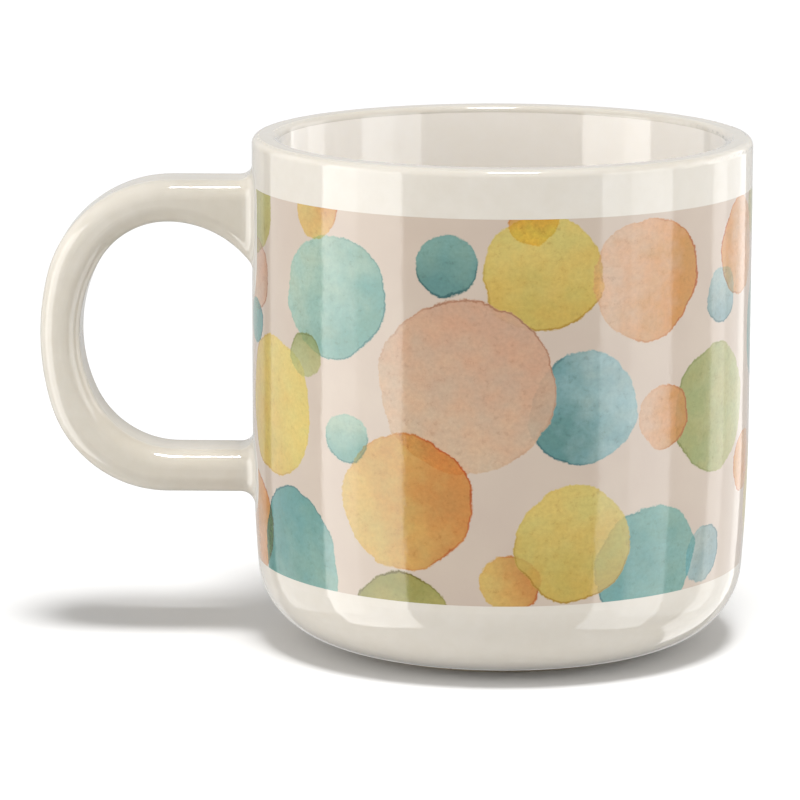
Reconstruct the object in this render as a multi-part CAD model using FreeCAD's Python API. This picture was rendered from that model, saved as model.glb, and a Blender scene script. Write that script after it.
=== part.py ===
"""A glazed stoneware mug with a wrap-round transfer, built piece by piece.

Units are millimetres. The origin is the centre of the foot ring on the plane that the mug stands on,
+Z is up, and the handle points along -X. A "coat" is a depth under the finished glazed surface:
coat 0 is the glazed surface and coat glaze_thickness is the clay under it.
"""

import FreeCAD, Part
import math
import os

# Cup
outer_radius = 43.0
cup_height = 88.0
wall_thickness = 4.5
lip_outer_round = 1.3
lip_inner_round = 1.2
belly_radius = 330.0
belly_top = 38.0
turn_radius = 13.5
skirt_clearance = 1.0
inner_turn_radius = 11.0
floor_thickness = 5.6

# Foot ring and the recess inside it
foot_step = 0.6
foot_width = 3.4
foot_round = 0.6
recess_depth = 2.6
recess_round = 1.2

# Handle: heights hang from the rim and reaches run out from the wall. Its edges are rounded by
# handle_edge_round, or by round_share of its thinnest arm where that is less
handle_drop = 7.5
handle_span = 54.5
handle_reach = 36.5
handle_width = 13.5
top_arm_thickness = 7.3
side_thickness = 6.8
bottom_arm_thickness = 7.4
handle_edge_round = 3.1
side_bulge_drop = 27.2
outer_side_radius = 43.6
outer_top_radius = 22.1
outer_bottom_radius = 21.0
gap_side_radius = 25.6
gap_top_radius = 13.6
gap_bottom_radius = 15.9
underside_angle = 54.0
root_slope_run = 1.2
root_radius = 6.0
root_depth = 14.0
round_share = 0.46

# Slip that joins the handle to the cup
slip_thickness = 0.6
slip_fillet = 2.8
joint_margin = 0.5

# Glaze and transfer
glaze_thickness = 0.35
transfer_thickness = 0.12
transfer_rim_margin = 8.1
transfer_base_margin = 14.9
transfer_seam_gap = 5.0
transfer_handle_margin = 0.6

# How near two places count as the same one
same_place = 0.01

# Worked out from the sizes above
inner_radius = outer_radius - wall_thickness
inside_floor = recess_depth + floor_thickness
turn_sine = (belly_top - turn_radius - skirt_clearance) / (belly_radius - turn_radius)
turn_angle = math.asin(turn_sine)
belly_centre = (outer_radius - belly_radius, belly_top)
turn_centre = (
    belly_centre[0] + (belly_radius - turn_radius) * math.cos(turn_angle),
    skirt_clearance + turn_radius,
)
foot_outer_radius = turn_centre[0] - foot_step
foot_inner_radius = foot_outer_radius - foot_width
handle_top = cup_height - handle_drop
handle_bottom = handle_top - handle_span
side_height = handle_top - side_bulge_drop
thinnest_arm = min(top_arm_thickness, side_thickness, bottom_arm_thickness, handle_width)
edge_round = min(handle_edge_round, round_share * thinnest_arm)


def point(r, z):
    return FreeCAD.Vector(r, 0, z)


def line(a, b):
    return Part.makeLine(point(*a), point(*b))


def arc(centre, radius, start, end):
    """An arc in the XZ plane, its angles in radians from +X towards +Z."""
    stops = []
    for angle in (start, (start + end) / 2, end):
        stops.append(point(centre[0] + radius * math.cos(angle), centre[1] + radius * math.sin(angle)))
    return Part.Arc(*stops).toShape()


def face(edges):
    return Part.Face(Part.Wire(Part.__sortEdges__(edges)))


def turned(edges):
    """The solid that a closed outline sweeps round the Z axis."""
    return face(edges).revolve(point(0, 0), FreeCAD.Vector(0, 0, 1), 360)


def outside_path(coat):
    """Edges of the cup's outside, from the foot ring's root up the wall and over the lip."""
    quarter = math.pi / 2
    wall = outer_radius - coat
    top = cup_height - coat
    lip_outer = (outer_radius - lip_outer_round, cup_height - lip_outer_round)
    lip_inner = (inner_radius + lip_inner_round, cup_height - lip_inner_round)
    return [
        line((foot_outer_radius, skirt_clearance + coat), (turn_centre[0], skirt_clearance + coat)),
        arc(turn_centre, turn_radius - coat, -quarter, -turn_angle),
        arc(belly_centre, belly_radius - coat, -turn_angle, 0),
        line((wall, belly_top), (wall, lip_outer[1])),
        arc(lip_outer, lip_outer_round - coat, 0, quarter),
        line((lip_outer[0], top), (lip_inner[0], top)),
        arc(lip_inner, lip_inner_round - coat, quarter, 2 * quarter),
    ]


def inside_path(coat):
    """Edges of the cup's inside, from the lip down the wall and across the floor."""
    wall = inner_radius + coat
    floor = inside_floor - coat
    centre = (inner_radius - inner_turn_radius, inside_floor + inner_turn_radius)
    return [
        line((wall, cup_height - lip_inner_round), (wall, centre[1])),
        arc(centre, inner_turn_radius + coat, 0, -math.pi / 2),
        line((centre[0], floor), (0, floor)),
    ]


def recess_path(coat):
    """Edges of the recess under the cup, from the axis out to the foot ring's inner wall."""
    ceiling = recess_depth + coat
    centre = (foot_inner_radius - recess_round, recess_depth + glaze_thickness - recess_round)
    radius = recess_round - glaze_thickness + coat
    return [
        line((0, ceiling), (centre[0], ceiling)),
        arc(centre, radius, math.pi / 2, 0),
    ]


def foot_path():
    """Edges of the bare foot ring, from its inner wall under and up to its outer wall."""
    inner = (foot_inner_radius + foot_round, foot_round)
    outer = (foot_outer_radius - foot_round, foot_round)
    recess_edge = recess_depth + glaze_thickness - recess_round
    return [
        line((foot_inner_radius, recess_edge), (foot_inner_radius, foot_round)),
        arc(inner, foot_round, math.pi, 1.5 * math.pi),
        line((inner[0], 0), (outer[0], 0)),
        arc(outer, foot_round, 1.5 * math.pi, 2 * math.pi),
        line((foot_outer_radius, foot_round), (foot_outer_radius, skirt_clearance + glaze_thickness)),
    ]


def skin(path, ends):
    """The solid between one path at the glazed surface and the same path at the clay."""
    return turned(path(0) + path(glaze_thickness) + ends)


def mug_body():
    clay = glaze_thickness
    axis = line((0, inside_floor - clay), (0, recess_depth + clay))
    return turned(recess_path(clay) + foot_path() + outside_path(clay) + inside_path(clay) + [axis])


def filled_cup(coat):
    """The cup with no hollow, for cutting what is joined to its outside."""
    rim = cup_height - lip_inner_round
    closing = [
        line((inner_radius + coat, rim), (0, rim)),
        line((0, rim), (0, skirt_clearance + coat)),
        line((0, skirt_clearance + coat), (foot_outer_radius, skirt_clearance + coat)),
    ]
    return turned(outside_path(coat) + closing)


def strap_corners(reach, top, bottom, side_radius, top_radius, bottom_radius):
    """Centres and angles of the three arcs that bend one edge of the handle, as (distance out, height)."""
    side = (reach - side_radius, side_height)
    top_rise = top - top_radius - side_height
    top_centre = (side[0] + math.sqrt((side_radius - top_radius) ** 2 - top_rise ** 2), top - top_radius)
    bottom_fall = side_height - bottom - bottom_radius
    bottom_run = math.sqrt((side_radius - bottom_radius) ** 2 - bottom_fall ** 2)
    bottom_centre = (side[0] + bottom_run, bottom + bottom_radius)
    top_angle = math.atan2(top_rise, top_centre[0] - side[0])
    bottom_angle = math.atan2(bottom_fall, bottom_centre[0] - side[0])
    return side, top_centre, bottom_centre, top_angle, bottom_angle


def out_from_wall(distance, height):
    return (-outer_radius - distance, height)


def strap_path(reach, top, bottom, side_radius, top_radius, bottom_radius, grow):
    """Three tangent arcs of one edge of the handle, moved out by grow, and where they start and end."""
    side, upper, lower, top_angle, bottom_angle = strap_corners(
        reach, top, bottom, side_radius, top_radius, bottom_radius
    )
    quarter = math.pi / 2
    edges = [
        arc(out_from_wall(*upper), top_radius + grow, quarter, math.pi - top_angle),
        arc(out_from_wall(*side), side_radius + grow, math.pi - top_angle, math.pi + bottom_angle),
        arc(out_from_wall(*lower), bottom_radius + grow, math.pi + bottom_angle, 3 * quarter),
    ]
    start = out_from_wall(upper[0], top + grow)
    end = out_from_wall(lower[0], bottom - grow)
    return edges, start, end


def handle_blank(coat):
    """The whole handle as one bent strap whose two roots run on into the wall."""
    root = -outer_radius + root_depth
    outer, outer_start, outer_end = strap_path(
        handle_reach,
        handle_top,
        handle_bottom,
        outer_side_radius,
        outer_top_radius,
        outer_bottom_radius,
        -coat,
    )
    gap, gap_start, gap_end = strap_path(
        handle_reach - side_thickness,
        handle_top - top_arm_thickness,
        handle_bottom + bottom_arm_thickness,
        gap_side_radius,
        gap_top_radius,
        gap_bottom_radius,
        coat,
    )
    # Under the top arm the strap thickens on one arc, runs into the wall at underside_angle and levels out
    angle = math.radians(underside_angle)
    quarter = math.pi / 2
    apex_out = -gap_start[0] - outer_radius
    haunch_radius = apex_out / math.sin(angle)
    haunch_centre = (gap_start[0], gap_start[1] - coat - haunch_radius)
    haunch = arc(haunch_centre, haunch_radius + coat, quarter, quarter - angle)
    haunch_end = (
        haunch_centre[0] + (haunch_radius + coat) * math.sin(angle),
        haunch_centre[1] + (haunch_radius + coat) * math.cos(angle),
    )
    slope_end = (haunch_end[0] + root_slope_run, haunch_end[1] - root_slope_run * math.tan(angle))
    root_centre = (
        slope_end[0] + (root_radius - coat) * math.sin(angle),
        slope_end[1] + (root_radius - coat) * math.cos(angle),
    )
    root_bottom = root_centre[1] - root_radius + coat
    outline = outer + gap + [
        haunch,
        line(haunch_end, slope_end),
        arc(root_centre, root_radius - coat, -quarter - angle, -quarter),
        line((root_centre[0], root_bottom), (root, root_bottom)),
        line((root, root_bottom), (root, outer_start[1])),
        line((root, outer_start[1]), outer_start),
        line(outer_end, (root, outer_end[1])),
        line((root, outer_end[1]), (root, gap_end[1])),
        line((root, gap_end[1]), gap_end),
    ]
    half_width = handle_width / 2 - coat
    side_face = face(outline).translate(FreeCAD.Vector(0, -half_width, 0))
    strap = side_face.extrude(FreeCAD.Vector(0, 2 * half_width, 0))
    long_edges = []
    for edge in strap.Edges:
        box = edge.BoundBox
        flat_side = box.YLength < same_place
        at_root = abs(box.XMax - root) < same_place and box.XLength < same_place
        if flat_side and not at_root:
            long_edges.append(edge)
    return strap.makeFillet(edge_round - coat, long_edges)


def cup_with_handle(coat, fillet):
    """The filled cup and the handle as one solid, with a fillet all round both roots of the handle."""
    joined = filled_cup(coat).fuse(handle_blank(coat)).removeSplitter()
    roots = []
    for edge in joined.Edges:
        box = edge.BoundBox
        on_handle_side = box.XMax < 0 and max(abs(box.YMin), abs(box.YMax)) < handle_width / 2 + same_place
        on_wall = box.XMin > -outer_radius - same_place
        round_the_cup = box.ZLength < same_place and box.YLength > handle_width
        if on_handle_side and on_wall and not round_the_cup:
            roots.append(edge)
    return joined.makeFillet(fillet, roots)


def joint_zone(margin):
    """The handle grown until it holds both joints' fillets, with a margin round them."""
    return handle_blank(-slip_fillet - margin)


def slip_joints():
    """The two pads of slip between the cup's wall and the handle's shaped ends, upper one first."""
    joined = cup_with_handle(glaze_thickness, slip_fillet)
    outside_wall = joined.cut(filled_cup(glaze_thickness))
    pads = outside_wall.common(filled_cup(glaze_thickness - slip_thickness))
    return sorted(pads.Solids, key=lambda pad: -pad.CenterOfMass.z)


def handle():
    joined = cup_with_handle(glaze_thickness, slip_fillet)
    return joined.cut(filled_cup(glaze_thickness - slip_thickness))


def lip_end():
    """Where the glaze over the lip stops and the liner starts."""
    height = cup_height - lip_inner_round
    return line((inner_radius, height), (inner_radius + glaze_thickness, height))


def liner_glaze():
    return skin(inside_path, [lip_end(), line((0, inside_floor), (0, inside_floor - glaze_thickness))])


def outer_glaze():
    """The coat over the lip and down to the foot, open round the joints, with a seat for the transfer."""
    clay_skirt = skirt_clearance + glaze_thickness
    foot_end = line((foot_outer_radius, skirt_clearance), (foot_outer_radius, clay_skirt))
    coat = skin(outside_path, [lip_end(), foot_end])
    return coat.cut(joint_zone(joint_margin)).cut(transfer_band(-glaze_thickness))


def handle_glaze():
    """The coat over the handle and out round both joints, to where the cup's own coat begins."""
    all_over = cup_with_handle(0, slip_fillet - glaze_thickness)
    coat = all_over.cut(cup_with_handle(glaze_thickness, slip_fillet))
    return coat.cut(filled_cup(0).cut(joint_zone(joint_margin)))


def recess_glaze():
    edge_height = recess_depth + glaze_thickness - recess_round
    middle = line((0, recess_depth), (0, recess_depth + glaze_thickness))
    edge = line((foot_inner_radius - glaze_thickness, edge_height), (foot_inner_radius, edge_height))
    return skin(recess_path, [middle, edge])


def transfer_band(coat):
    """The transfer's place round the wall, from its back out to coat, its two ends beside the handle."""
    low = transfer_base_margin
    high = cup_height - transfer_rim_margin
    reach = 2 * outer_radius
    wall = filled_cup(coat).cut(filled_cup(transfer_thickness))
    band = Part.makeBox(2 * reach, 2 * reach, high - low, FreeCAD.Vector(-reach, -reach, low))
    half_seam = transfer_seam_gap / 2
    seam = Part.makeBox(reach, 2 * half_seam, cup_height, FreeCAD.Vector(-reach, -half_seam, 0))
    handle_window = joint_zone(joint_margin + transfer_handle_margin)
    return wall.common(band).cut(seam).cut(handle_window)


upper_slip, lower_slip = slip_joints()
pieces = {
    "mug_body": mug_body(),
    "handle": handle(),
    "upper_slip_joint": upper_slip,
    "lower_slip_joint": lower_slip,
    "liner_glaze": liner_glaze(),
    "outer_glaze": outer_glaze(),
    "handle_glaze": handle_glaze(),
    "recess_glaze": recess_glaze(),
    "transfer_wrap": transfer_band(0),
}
os.makedirs("parts", exist_ok=True)
for name, shape in pieces.items():
    shape.exportStep("parts/" + name + ".step")
    print(name, len(shape.Solids), shape.isValid(), round(shape.Volume, 1))
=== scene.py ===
"""Looks of a glazed stoneware mug with a wrap-round transfer of watercolour dots.

Lengths are metres unless a name or comment says millimetres. Z is up and the handle points along -X.
"""

import math

import bpy
from mathutils import Matrix, Vector


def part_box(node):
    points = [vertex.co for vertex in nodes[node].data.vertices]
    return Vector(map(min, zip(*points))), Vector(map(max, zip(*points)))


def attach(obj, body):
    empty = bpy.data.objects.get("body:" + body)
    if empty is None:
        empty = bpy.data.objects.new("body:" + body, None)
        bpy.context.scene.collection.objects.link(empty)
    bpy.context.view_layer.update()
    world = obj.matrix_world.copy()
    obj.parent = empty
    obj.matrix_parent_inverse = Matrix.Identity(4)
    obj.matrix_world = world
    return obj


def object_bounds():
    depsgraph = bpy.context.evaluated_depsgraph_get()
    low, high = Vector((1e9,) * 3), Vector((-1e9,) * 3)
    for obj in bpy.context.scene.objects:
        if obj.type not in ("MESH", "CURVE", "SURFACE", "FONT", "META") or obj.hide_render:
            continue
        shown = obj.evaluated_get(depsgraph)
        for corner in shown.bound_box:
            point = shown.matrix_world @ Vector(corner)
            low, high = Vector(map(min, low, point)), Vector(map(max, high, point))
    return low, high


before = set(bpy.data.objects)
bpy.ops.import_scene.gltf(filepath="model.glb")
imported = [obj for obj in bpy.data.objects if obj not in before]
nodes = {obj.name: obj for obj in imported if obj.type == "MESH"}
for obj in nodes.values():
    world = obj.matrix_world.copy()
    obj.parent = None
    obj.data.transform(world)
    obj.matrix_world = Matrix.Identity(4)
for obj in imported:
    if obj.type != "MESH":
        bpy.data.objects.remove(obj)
cad_bounds = [list(corner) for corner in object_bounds()]

# ---------------------------------------------------------------------------------------------
# The mug's body: wall, floor and foot ring, pressed or cast as one piece of buff stoneware clay.
# Only the foot ring stays bare, so its clay is dry, slightly sandy and speckled with iron.
# ---------------------------------------------------------------------------------------------


def colour(red, green, blue):
    """A finish's colour, from the 0 to 255 values of a paint chart."""
    channels = []
    for value in (red, green, blue):
        share = value / 255
        channels.append(share / 12.92 if share <= 0.04045 else ((share + 0.055) / 1.055) ** 2.4)
    return (*channels, 1.0)


def new_finish(name):
    """An empty node finish, with its shader and its output joined."""
    finish = bpy.data.materials.new(name)
    finish.use_nodes = True
    tree = finish.node_tree
    tree.nodes.clear()
    shader = tree.nodes.new("ShaderNodeBsdfPrincipled")
    output = tree.nodes.new("ShaderNodeOutputMaterial")
    tree.links.new(shader.outputs["BSDF"], output.inputs["Surface"])
    return finish, tree, shader


def add(tree, kind, *values, **settings):
    """A node of that kind. Each value is a constant or another node's output, and None leaves an input."""
    node = tree.nodes.new("ShaderNode" + kind)
    for key, value in settings.items():
        setattr(node, key, value)
    for socket, value in zip(node.inputs, values):
        if isinstance(value, bpy.types.NodeSocket):
            tree.links.new(value, socket)
        elif value is not None:
            socket.default_value = value
    return node


def calc(tree, operation, *values):
    return add(tree, "Math", *values, operation=operation).outputs[0]


def speckle(tree, place, size_mm, detail=2.0, roughness=0.5):
    """Noise from 0 to 1 whose lumps are about size_mm across, at a place in millimetres."""
    noise = add(tree, "TexNoise")
    tree.links.new(place, noise.inputs["Vector"])
    noise.inputs["Scale"].default_value = 1 / size_mm
    noise.inputs["Detail"].default_value = detail
    noise.inputs["Roughness"].default_value = roughness
    return noise.outputs["Fac"]


def spread(tree, value, low, high, to_low=0.0, to_high=1.0):
    """The value stretched from low..high to to_low..to_high, and held at those ends."""
    return add(tree, "MapRange", value, low, high, to_low, to_high, clamp=True).outputs[0]


def blend(tree, share, first, second, how="MIX"):
    """first where share is 0, second (or the two multiplied or divided) where it is 1."""
    mix = tree.nodes.new("ShaderNodeMix")
    mix.data_type = "RGBA"
    mix.blend_type = how
    for socket, value in ((mix.inputs[0], share), (mix.inputs[6], first), (mix.inputs[7], second)):
        if isinstance(value, bpy.types.NodeSocket):
            tree.links.new(value, socket)
        else:
            socket.default_value = value
    return mix.outputs[2]


mm_per_m = 1000


def place_in_mm(tree):
    """The point on the piece, in millimetres."""
    object_place = add(tree, "TexCoord").outputs["Object"]
    return add(tree, "VectorMath", object_place, (mm_per_m,) * 3, operation="MULTIPLY").outputs[0]


def raise_surface(tree, shader, height, depth_mm):
    """Makes the shader feel a height from 0 to 1 as a relief of that depth."""
    bump = add(tree, "Bump")
    bump.inputs["Strength"].default_value = 1.0
    bump.inputs["Distance"].default_value = depth_mm / mm_per_m
    tree.links.new(height, bump.inputs["Height"])
    tree.links.new(bump.outputs["Normal"], shader.inputs["Normal"])


pale_clay = colour(214, 203, 184)
deep_clay = colour(196, 182, 160)
sand_grain = colour(168, 152, 128)
iron_speck = colour(120, 92, 66)
sand_relief_mm = 0.06


def bare_clay():
    finish, tree, shader = new_finish("bare_stoneware")
    place = place_in_mm(tree)
    cloud = speckle(tree, place, 9, detail=3)
    sand = speckle(tree, place, 0.5, detail=4, roughness=0.7)
    iron = spread(tree, speckle(tree, place, 0.9, detail=1), 0.70, 0.76)
    ground = blend(tree, cloud, pale_clay, deep_clay)
    grained = blend(tree, spread(tree, sand, 0.35, 0.7, 0, 0.35), ground, sand_grain)
    spotted = blend(tree, iron, grained, iron_speck)
    tree.links.new(spotted, shader.inputs["Base Color"])
    tree.links.new(spread(tree, sand, 0.3, 0.7, 0.72, 0.92), shader.inputs["Roughness"])
    raise_surface(tree, shader, sand, sand_relief_mm)
    return finish


def finish_node(name, finish):
    """A piece of the frame keeps its shape and gets its finish."""
    piece = nodes[name]
    piece.data.materials.clear()
    piece.data.materials.append(finish)


clay = bare_clay()
finish_node("mug_body", clay)

# ---------------------------------------------------------------------------------------------
# The handle: a strap of the same clay, cast in a mould and stuck on with its two flared ends.
# Glaze covers it all over, so its clay is only seen where the pieces are taken apart.
# ---------------------------------------------------------------------------------------------
finish_node("handle", clay)

# ---------------------------------------------------------------------------------------------
# The two slip joints: pads of liquid clay between the strap's ends and the wall.
# They dry a shade darker than the clay, with a smeared, finely cracked surface whose cracks are painted dark
# as painted shade.
# ---------------------------------------------------------------------------------------------


pale_slip = colour(188, 172, 148)
deep_slip = colour(170, 152, 127)
painted_crack_shade = colour(120, 104, 82)
crack_relief_mm = 0.05


def dried_slip():
    finish, tree, shader = new_finish("dried_slip")
    place = place_in_mm(tree)
    smear = speckle(tree, place, 2.5, detail=4)
    cracks = add(tree, "TexVoronoi", feature="DISTANCE_TO_EDGE")
    tree.links.new(place, cracks.inputs["Vector"])
    cracks.inputs["Scale"].default_value = 0.9
    crack_line = spread(tree, cracks.outputs["Distance"], 0.0, 0.05)
    base = blend(tree, smear, pale_slip, deep_slip)
    # The cracks are painted in a darker colour, as painted shade in them
    tree.links.new(blend(tree, crack_line, painted_crack_shade, base), shader.inputs["Base Color"])
    tree.links.new(spread(tree, smear, 0.3, 0.7, 0.7, 0.9), shader.inputs["Roughness"])
    raise_surface(tree, shader, crack_line, crack_relief_mm)
    return finish


slip = dried_slip()
finish_node("upper_slip_joint", slip)
finish_node("lower_slip_joint", slip)

# ---------------------------------------------------------------------------------------------
# The glazes: a pale glossy liner poured inside, painted lighter still as painted light in the shaded cup, a
# cream coat sprayed over the outside, the lip and the recess under the foot, and over the handle the same
# cream painted a shade deeper as painted shade. Each coat ripples faintly and is deeper in colour where it
# pooled.
# ---------------------------------------------------------------------------------------------


glaze_ior = 1.52
glaze_glow_depth = 0.0012


def glaze(name, thin, thick, roughness, ripple_mm):
    """A glossy coat, thin and thick being its colours where it lies thinly and where it has pooled."""
    finish, tree, shader = new_finish(name)
    place = place_in_mm(tree)
    cloud = speckle(tree, place, 26, detail=3)
    mottle = speckle(tree, place, 3.2, detail=4, roughness=0.6)
    depth = calc(tree, "MULTIPLY_ADD", mottle, 0.45, calc(tree, "MULTIPLY", cloud, 0.55))
    coat = blend(tree, spread(tree, depth, 0.36, 0.64), thin, thick)
    tree.links.new(coat, shader.inputs["Base Color"])
    uneven = spread(tree, mottle, 0.3, 0.7, roughness * 0.85, roughness * 1.25)
    tree.links.new(uneven, shader.inputs["Roughness"])
    ripple = speckle(tree, place, 7, detail=2)
    peel = speckle(tree, place, 1.4, detail=1)
    raise_surface(tree, shader, calc(tree, "MULTIPLY_ADD", peel, 0.12, ripple), ripple_mm)
    shader.inputs["IOR"].default_value = glaze_ior
    shader.inputs["Subsurface Weight"].default_value = 0.08
    shader.inputs["Subsurface Radius"].default_value = (1.0, 0.8, 0.6)
    shader.inputs["Subsurface Scale"].default_value = glaze_glow_depth
    shader.inputs["Coat Weight"].default_value = 0.25
    shader.inputs["Coat Roughness"].default_value = 0.03
    return finish


# The liner is painted lighter than the outside coat, as painted light standing in for light inside the cup
inside_coat_painted_light = glaze("liner_glaze", colour(247, 242, 235), colour(245, 239, 230), 0.07, 0.025)
finish_node("liner_glaze", inside_coat_painted_light)

outside_coat = glaze("cream_glaze", colour(213, 207, 197), colour(208, 201, 189), 0.07, 0.03)
finish_node("outer_glaze", outside_coat)
finish_node("recess_glaze", outside_coat)

# The handle's coat is the outside cream painted a shade deeper, as painted shade on the handle
handle_coat_painted_shade = glaze("handle_cream_glaze_painted_shade", colour(208, 202, 191), colour(202, 195, 182), 0.06, 0.02)
finish_node("handle_glaze", handle_coat_painted_shade)

# ---------------------------------------------------------------------------------------------
# The transfer: a sheet printed with watercolour dots on a blush ground, slid wet round the wall and
# fired into the glaze. Its ends stop short of the handle, and its film keeps a faint ripple.
# ---------------------------------------------------------------------------------------------

wall_radius_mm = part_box("outer_glaze")[1].x * mm_per_m
ground_tint = colour(187, 171, 157)
pale_ground_tint = colour(190, 175, 160)

# A wash fades out within fade_mm of its edge, on both sides. Its line of pigment lies line_inset_mm
# inside the edge, full up to line_solid_mm from the line's middle and gone by line_gone_mm
fade_mm = 0.11
line_inset_mm = 0.17
line_solid_mm = 0.04
line_gone_mm = 0.24

# How far the paint creeps, how far an edge wanders and how deep its teeth are, from end to end
creep_mm = 2.8
wander_mm = 1.1
teeth_mm = 0.7
film_relief_mm = 0.035
film_ior = 1.5


def slope(tree, value, zero_at, one_at):
    """0 at zero_at and 1 at one_at, and on past both in a straight line."""
    rise = 1 / (one_at - zero_at)
    return calc(tree, "MULTIPLY_ADD", value, rise, -zero_at * rise)


def wash_group():
    """One round wash of watercolour laid over what is under it, as a group to be used for each dot."""
    tree = bpy.data.node_groups.new("wash_dot", "ShaderNodeTree")
    inputs = (
        ("Place", "Vector"), ("Wobble", "Float"), ("Bloom", "Float"), ("Grain", "Color"), ("Patch", "Float"),
        ("Middle", "Vector"), ("Shape", "Vector"), ("Radius", "Float"), ("Lean", "Vector"),
        ("Pale", "Color"), ("Deep", "Color"), ("Line", "Color"), ("Thin", "Float"), ("Under", "Color"),
    )
    for name, kind in inputs:
        tree.interface.new_socket(name, in_out="INPUT", socket_type="NodeSocket" + kind)
    tree.interface.new_socket("Over", in_out="OUTPUT", socket_type="NodeSocketColor")
    given = tree.nodes.new("NodeGroupInput").outputs
    offset = add(tree, "VectorMath", given["Place"], given["Middle"], operation="SUBTRACT").outputs[0]
    share = add(tree, "VectorMath", offset, given["Shape"], operation="MULTIPLY").outputs[0]
    out = add(tree, "VectorMath", share, operation="LENGTH").outputs["Value"]
    past_edge = calc(tree, "MULTIPLY_ADD", calc(tree, "SUBTRACT", out, 1.0), given["Radius"], given["Wobble"])
    cover = slope(tree, past_edge, fade_mm, -fade_mm)
    # Pigment gathers in a fine line just inside the edge, broken where the wash dried evenly
    from_line = calc(tree, "ABSOLUTE", calc(tree, "ADD", past_edge, line_inset_mm))
    line = calc(tree, "MAXIMUM", slope(tree, from_line, line_gone_mm, line_solid_mm), 0.0)
    leaning = add(tree, "VectorMath", share, given["Lean"], operation="DOT_PRODUCT").outputs["Value"]
    broken = calc(tree, "MULTIPLY_ADD", leaning, 0.5, given["Patch"])
    line_share = calc(tree, "MULTIPLY", line, calc(tree, "MAXIMUM", slope(tree, broken, 0.35, 0.95), 0.06))
    # The wash runs from pale to deep along its lean, and blooms where it stayed wet
    deep_share = calc(tree, "ADD", calc(tree, "MULTIPLY_ADD", leaning, 0.75, 0.5), given["Bloom"])
    pigment = blend(tree, deep_share, given["Pale"], given["Deep"])
    edged = blend(tree, line_share, pigment, given["Line"])
    grained = blend(tree, 1.0, edged, given["Grain"], "MULTIPLY")
    seen_under = blend(tree, 1.0, given["Under"], ground_tint, "DIVIDE")
    tinted_by = blend(tree, given["Thin"], (1, 1, 1, 1), seen_under)
    laid = blend(tree, 1.0, grained, tinted_by, "MULTIPLY")
    result = blend(tree, cover, given["Under"], laid)
    output = tree.nodes.new("NodeGroupOutput")
    tree.links.new(result, output.inputs["Over"])
    return tree


# Each wash is its pale colour, its deep colour and the line of pigment at its edge
washes = {
    "mint": (colour(147, 170, 154), colour(104, 146, 136), colour(74, 116, 112)),
    "teal": (colour(116, 152, 142), colour(80, 131, 126), colour(54, 98, 98)),
    "deep_teal": (colour(112, 146, 138), colour(90, 126, 121), colour(56, 90, 90)),
    "blue_teal": (colour(142, 166, 166), colour(86, 126, 124), colour(62, 98, 102)),
    "butter": (colour(198, 176, 96), colour(188, 160, 76), colour(164, 126, 52)),
    "straw": (colour(190, 170, 98), colour(181, 156, 79), colour(154, 122, 50)),
    "olive": (colour(164, 158, 98), colour(140, 134, 74), colour(104, 94, 44)),
    "leaf": (colour(164, 162, 114), colour(139, 142, 88), colour(112, 116, 58)),
    "apricot": (colour(190, 160, 92), colour(180, 124, 66), colour(162, 82, 42)),
    "peach": (colour(188, 162, 136), colour(183, 147, 122), colour(152, 110, 86)),
    "blush": (colour(192, 158, 130), colour(182, 128, 66), colour(160, 90, 46)),
    "mist": (colour(146, 162, 158), colour(116, 140, 140), colour(84, 110, 112)),
}

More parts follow.
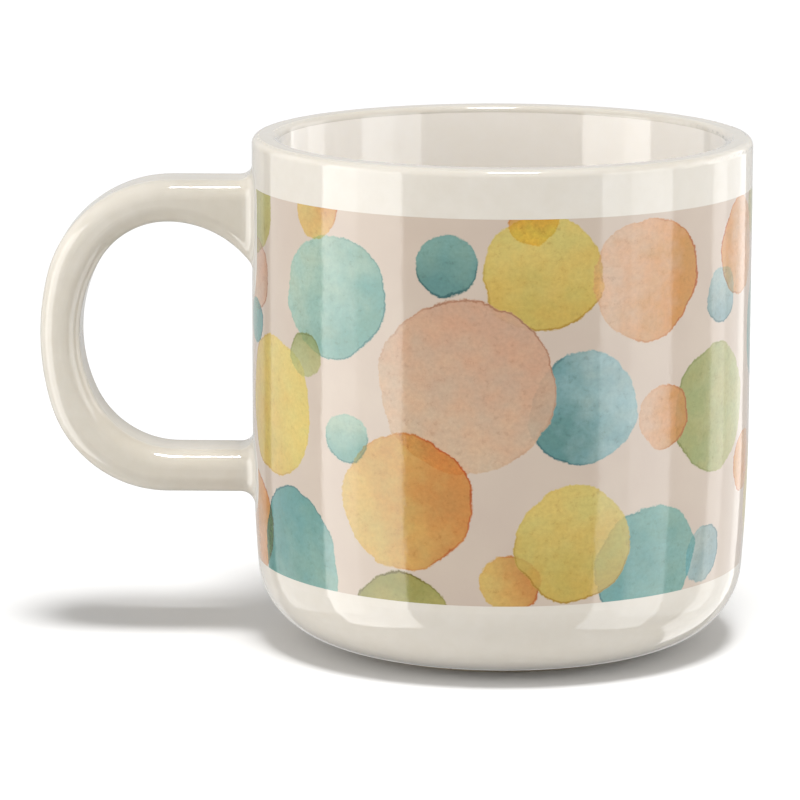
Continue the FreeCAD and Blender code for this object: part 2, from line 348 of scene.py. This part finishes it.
# The dots in the order they were painted: wash, degrees round from the handle, height and radius in
# millimetres, how oval it is across, which way it deepens in degrees, and how much it lets through
dots = [
    ("olive", 13, 78, 9.0, 1.0, 200, 0.8),
    ("peach", 15, 65.5, 6.2, 1.0, 0, 0.8),
    ("teal", 14, 57, 4.2, 1.0, 0, 0.8),
    ("blush", 13, 23, 9.0, 1.0, 20, 0.8),
    ("mint", 49, 65.2, 10.5, 1.05, 330, 0.9),
    ("butter", 27, 44.5, 12.0, 0.97, 200, 0.9),
    ("leaf", 40, 54.5, 4.0, 1.0, 90, 0.5),
    ("apricot", 44, 80, 5.2, 1.0, 60, 0.9),
    ("mint", 53.5, 41.8, 4.4, 1.0, 270, 0.9),
    ("teal", 35, 17, 14.5, 0.78, 120, 0.9),
    ("olive", 67, 11.5, 9.0, 1.0, 90, 0.9),
    ("blue_teal", 109, 48, 9.6, 1.0, 200, 0.9),
    ("straw", 99, 70.8, 9.8, 1.02, 270, 0.9),
    ("peach", 82, 51.8, 14.8, 1.01, 60, 0.12),
    ("apricot", 68.2, 32, 11.3, 1.05, 20, 0.85),
    ("deep_teal", 78, 72, 5.2, 1.0, 270, 0.9),
    ("apricot", 97, 80, 4.2, 1.0, 90, 0.9),
    ("blush", 124.6, 69.2, 10.3, 1.06, 350, 0.7),
    ("leaf", 147, 45, 10.9, 1.0, 180, 0.9),
    ("blush", 129, 45.5, 5.3, 1.0, 0, 0.25),
    ("mist", 150, 64, 5.1, 1.0, 270, 0.9),
    ("blush", 160, 71.5, 8.3, 1.0, 180, 0.9),
    ("blush", 165, 33.7, 5.4, 1.0, 180, 0.9),
    ("mist", 144, 20.5, 4.9, 1.0, 0, 0.9),
    ("teal", 126, 20.7, 10.2, 1.02, 200, 0.9),
    ("apricot", 92, 19, 4.9, 1.05, 0, 0.9),
    ("straw", 107, 25.3, 10.0, 1.0, 270, 0.25),
    # Round the far side
    ("olive", 175, 78, 6.0, 1.0, 90, 0.9),
    ("teal", 179, 56, 9.0, 1.02, 300, 0.9),
    ("butter", 183, 27, 11.0, 1.0, 20, 0.9),
    ("peach", 196, 70, 11.0, 1.03, 180, 0.8),
    ("apricot", 194, 43, 5.0, 1.0, 0, 0.9),
    ("mint", 201, 17, 7.0, 1.0, 90, 0.9),
    ("leaf", 208, 53, 8.0, 1.0, 240, 0.9),
    ("deep_teal", 212, 76, 5.0, 1.0, 0, 0.9),
    ("apricot", 216, 32, 12.0, 1.02, 30, 0.9),
    ("mint", 225, 64, 10.0, 1.0, 330, 0.9),
    ("olive", 231, 45, 5.0, 1.0, 0, 0.9),
    ("olive", 232, 14, 8.0, 1.0, 90, 0.9),
    ("butter", 241, 79, 8.0, 1.0, 300, 0.9),
    ("blue_teal", 252, 27, 9.0, 1.0, 270, 0.9),
    ("peach", 247, 52, 14.5, 1.0, 40, 0.15),
    ("deep_teal", 261, 73, 5.4, 1.0, 270, 0.9),
    ("straw", 271, 58, 9.4, 1.03, 270, 0.9),
    ("blush", 268, 17, 6.0, 1.0, 0, 0.9),
    ("leaf", 278, 79, 7.0, 1.0, 90, 0.9),
    ("mint", 283, 37, 11.4, 1.0, 150, 0.9),
    ("apricot", 290, 66, 8.0, 1.0, 20, 0.9),
    ("butter", 293, 18, 9.0, 1.0, 0, 0.9),
    ("mist", 300, 49, 5.0, 1.0, 0, 0.9),
    ("peach", 305, 78, 5.0, 1.0, 0, 0.9),
    ("leaf", 311, 61, 10.0, 1.02, 200, 0.9),
    ("blush", 313, 33, 12.0, 1.0, 0, 0.3),
    ("teal", 323, 16, 6.4, 1.0, 90, 0.9),
    ("straw", 327, 76, 9.0, 1.0, 90, 0.9),
    ("mint", 333, 49, 8.6, 1.0, 320, 0.9),
    ("apricot", 338, 28, 7.0, 1.0, 0, 0.9),
    ("deep_teal", 344, 63, 5.0, 1.0, 270, 0.9),
    ("olive", 350, 42, 8.0, 1.0, 90, 0.9),
    ("butter", 352, 20, 9.0, 1.0, 0, 0.9),
    ("peach", 352, 79, 8.0, 1.0, 0, 0.9),
]


def printed_transfer():
    finish, tree, shader = new_finish("printed_transfer")
    place = place_in_mm(tree)
    x, y, height = add(tree, "SeparateXYZ", place).outputs
    from_handle = calc(tree, "ADD", calc(tree, "ARCTAN2", y, x), math.pi)
    round_the_wall = calc(tree, "MULTIPLY", from_handle, wall_radius_mm)
    sheet = add(tree, "CombineXYZ", round_the_wall, height, 0.0).outputs[0]
    # Wet paint creeps, so no dot is a true circle
    creep = add(tree, "TexNoise", sheet, None, 1 / 10, 1.0)
    pull = add(tree, "VectorMath", creep.outputs["Color"], (0.5, 0.5, 0.5), operation="SUBTRACT").outputs[0]
    reach = (creep_mm, creep_mm, 0.0)
    crept = add(tree, "VectorMath", pull, reach, sheet, operation="MULTIPLY_ADD").outputs[0]
    large = speckle(tree, sheet, 9, detail=1)
    middling = speckle(tree, sheet, 3, detail=3, roughness=0.6)
    fine = speckle(tree, sheet, 0.7, detail=4, roughness=0.65)
    # The edge wanders, and its small teeth are where the paper's grain caught
    waved = calc(tree, "MULTIPLY", calc(tree, "SUBTRACT", middling, 0.5), wander_mm)
    wobble = calc(tree, "MULTIPLY_ADD", calc(tree, "SUBTRACT", fine, 0.5), teeth_mm, waved)
    patch = speckle(tree, sheet, 6, detail=2)
    small_blooms = calc(tree, "MULTIPLY", calc(tree, "SUBTRACT", middling, 0.5), 0.5)
    bloom = calc(tree, "MULTIPLY_ADD", calc(tree, "SUBTRACT", patch, 0.5), 0.9, small_blooms)
    # Paper grain, flecks of settled pigment, and slow drifts between a warmer and a cooler mix
    grain = blend(tree, spread(tree, fine, 0.3, 0.7), (0.91, 0.91, 0.91, 1), (1.07, 1.07, 1.07, 1))
    flecks = spread(tree, speckle(tree, sheet, 1.5, detail=4, roughness=0.75), 0.57, 0.68)
    grain = blend(tree, flecks, grain, blend(tree, 1.0, grain, (0.87, 0.84, 0.82, 1), "MULTIPLY"))
    drift = spread(tree, speckle(tree, sheet, 5, detail=3), 0.35, 0.65)
    drifted = blend(tree, drift, (1.05, 0.99, 0.95, 1), (0.96, 1.01, 1.04, 1))
    grain = blend(tree, 1.0, grain, drifted, "MULTIPLY")
    painted = blend(tree, spread(tree, large, 0.3, 0.7), ground_tint, pale_ground_tint)
    group = wash_group()
    shared = {"Place": crept, "Wobble": wobble, "Bloom": bloom, "Grain": grain, "Patch": patch}
    for wash, degrees, up, radius, oval, lean, thin in dots:
        dot = tree.nodes.new("ShaderNodeGroup")
        dot.node_tree = group
        for socket, value in shared.items():
            tree.links.new(value, dot.inputs[socket])
        tree.links.new(painted, dot.inputs["Under"])
        pale, deep, edge_line = washes[wash]
        lean_angle = math.radians(lean)
        dot.inputs["Middle"].default_value = (math.radians(degrees) * wall_radius_mm, up, 0)
        dot.inputs["Shape"].default_value = (1 / (radius * oval), 1 / radius, 0)
        dot.inputs["Radius"].default_value = radius
        dot.inputs["Lean"].default_value = (math.cos(lean_angle), math.sin(lean_angle), 0)
        dot.inputs["Pale"].default_value = pale
        dot.inputs["Deep"].default_value = deep
        dot.inputs["Line"].default_value = edge_line
        dot.inputs["Thin"].default_value = thin
        painted = dot.outputs["Over"]
    tree.links.new(painted, shader.inputs["Base Color"])
    tree.links.new(spread(tree, fine, 0.3, 0.7, 0.07, 0.11), shader.inputs["Roughness"])
    ripple = calc(tree, "MULTIPLY_ADD", speckle(tree, sheet, 1.3, detail=3), 0.6, speckle(tree, sheet, 8))
    raise_surface(tree, shader, ripple, film_relief_mm)
    shader.inputs["IOR"].default_value = film_ior
    shader.inputs["Coat Weight"].default_value = 0.2
    shader.inputs["Coat Roughness"].default_value = 0.04
    return finish


finish_node("transfer_wrap", printed_transfer())

# ---------------------------------------------------------------------------------------------
# The studio: a plain white table, a tall soft box on each side and one behind on the right, three
# wide cards further off, a broad light overhead and a weak glow from the room. The glaze would
# mirror the table and the mug itself, so both are kept out of its reflections.
# ---------------------------------------------------------------------------------------------
low, high = (Vector(corner) for corner in cad_bounds)
middle = (low + high) / 2
table_size = 8
table_white = 0.80

bpy.ops.object.select_all(action="DESELECT")
bpy.ops.mesh.primitive_plane_add(size=table_size, location=(0, 0, low.z))
table = bpy.context.object
table.name = "white_table"
table_finish, table_tree, table_shader = new_finish("white_table")
table_shader.inputs["Base Color"].default_value = (table_white, table_white, table_white, 1)
table_shader.inputs["Roughness"].default_value = 1.0
table_shader.inputs["Specular IOR Level"].default_value = 0.0
table.data.materials.append(table_finish)
table.visible_glossy = False


def soft_box(name, direction, rise, distance, width, height, brightness, tint):
    """A flat light facing the mug from a direction in degrees, where 0 is the camera's side and 90 is +X."""
    light = bpy.data.lights.new(name, "AREA")
    light.shape = "RECTANGLE"
    light.size = width
    light.size_y = height
    light.energy = brightness * math.pi * width * height
    light.color = tint
    turn = math.radians(direction)
    climb = math.radians(rise)
    outward = Vector((math.sin(turn) * math.cos(climb), -math.cos(turn) * math.cos(climb), math.sin(climb)))
    lamp = bpy.data.objects.new(name, light)
    bpy.context.collection.objects.link(lamp)
    lamp.location = Vector((0, 0, middle.z)) + outward * distance
    lamp.rotation_euler = outward.to_track_quat("Z", "Y").to_euler()


warm = (1.0, 0.99, 0.97)
cool = (0.94, 0.97, 1.0)
plain = (1, 1, 1)
box_distance = 0.60
box_height = 0.9
card_distance = 1.30
soft_box("left_soft_box", -65.5, -10, box_distance, 0.47, box_height, 3.1, warm)
soft_box("right_soft_box", 63, -10, box_distance, 0.40, box_height, 2.0, cool)
soft_box("rear_right_soft_box", 128, -10, box_distance, 0.40, box_height, 1.2, plain)
soft_box("left_card", -100, 0, card_distance, 1.6, 1.8, 0.8, plain)
soft_box("right_card", 92, 0, card_distance, 1.6, 1.8, 0.8, plain)
soft_box("rear_card", 180, 3, card_distance, 2.2, 1.6, 0.35, warm)

overhead = bpy.data.lights.new("overhead", "SUN")
overhead.energy = 2.6
overhead.angle = math.radians(16)
overhead_lamp = bpy.data.objects.new("overhead", overhead)
bpy.context.collection.objects.link(overhead_lamp)
towards_overhead = Vector((0.06, -0.26, 1.0))
overhead_lamp.rotation_euler = towards_overhead.to_track_quat("Z", "Y").to_euler()

room = bpy.data.worlds.new("room")
room.use_nodes = True
room_glow = room.node_tree.nodes["Background"]
room_glow.inputs["Color"].default_value = (1, 1, 1, 1)
room_glow.inputs["Strength"].default_value = 0.32
bpy.context.scene.world = room
bpy.context.scene.view_settings.view_transform = "Standard"

# ---------------------------------------------------------------------------------------------
# The camera: a long lens on a stand 0.8 m in front of the handle's plane, looking down a little
# at a point just under the mug's middle.
# ---------------------------------------------------------------------------------------------
camera_distance = 0.80
camera_height = 0.1972
camera_roll = math.radians(0.13)
focal_length_mm = 211.3
sensor_width_mm = 36
aim = middle + Vector((0.0008, 0, -0.0025))

lens = bpy.data.cameras.new("long_lens")
lens.lens = focal_length_mm
lens.sensor_width = sensor_width_mm
lens.clip_start = 0.05
camera = bpy.data.objects.new("long_lens", lens)
bpy.context.collection.objects.link(camera)
camera.location = (0, -camera_distance, camera_height)
sight = (aim - camera.location).to_track_quat("-Z", "Y").to_matrix()
camera.rotation_euler = (sight @ Matrix.Rotation(camera_roll, 3, "Z")).to_euler()
bpy.context.scene.camera = camera

# Every piece belongs to the one rigid body, and stays out of the glaze's reflections
for piece in nodes.values():
    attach(piece, "root")
    piece.visible_glossy = False
